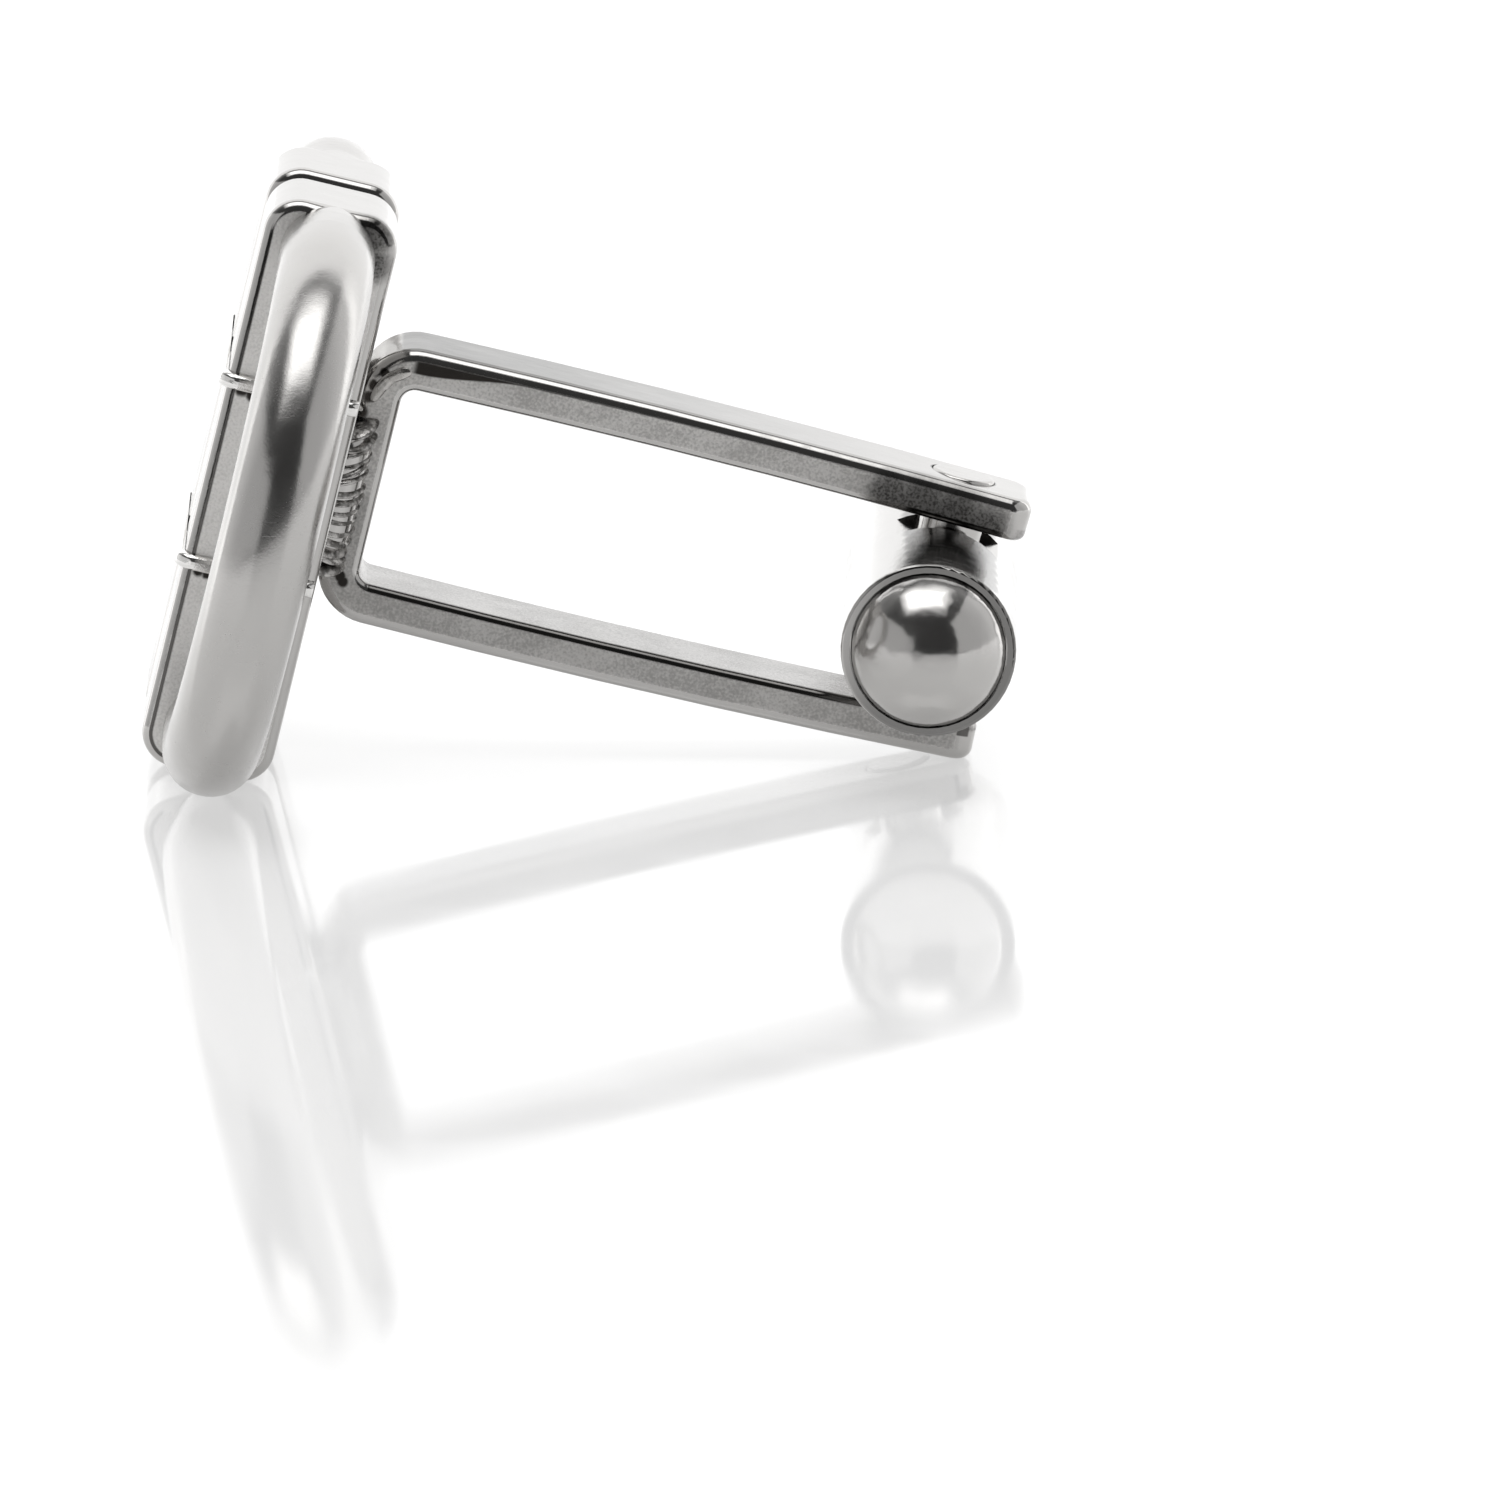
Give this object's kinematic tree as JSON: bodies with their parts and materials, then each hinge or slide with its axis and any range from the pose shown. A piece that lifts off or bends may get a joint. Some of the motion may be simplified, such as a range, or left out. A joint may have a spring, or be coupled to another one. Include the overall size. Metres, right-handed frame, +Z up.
{
  "type": "horse bit cufflink",
  "caption": "Cufflink with a horse bit front of D rings and square bars, a bent strip frame welded behind, and a round toggle that swivels on a pin between its arms.",
  "frame": {"origin": "on the surface that the cufflink lies on, under the middle of its box", "axes": "+Z up, +X from the horse bit front to the toggle, Y across the bars. The cufflink lies on its side, leaning back by 13.7 degrees"},
  "size_m": [0.0246, 0.0284, 0.0164],
  "materials": {
    "bit_steel": "mirror polish, with finely grained flat sides and a rippled weld",
    "band_steel": "polish",
    "pin_steel": "polish",
    "toggle_steel": "mirror polish, with a matt rim",
    "cap_steel": "mirror polish"
  },
  "bodies": {
    "bit": {"bit_and_frame": "bit_steel", "upper_band": "band_steel", "lower_band": "band_steel", "pivot_pin": "pin_steel"},
    "toggle": {"toggle_barrel": "toggle_steel", "toggle_cap_near": "cap_steel", "toggle_cap_far": "cap_steel"}
  },
  "joints": [
    {"name": "toggle_swivel", "type": "hinge", "parent": "bit", "child": "toggle", "pos_m": [0.00954, 0, 0.00412], "axis": [0.2371, 0, 0.9715], "range_deg": [-88.4, 91.6]}
  ]
}
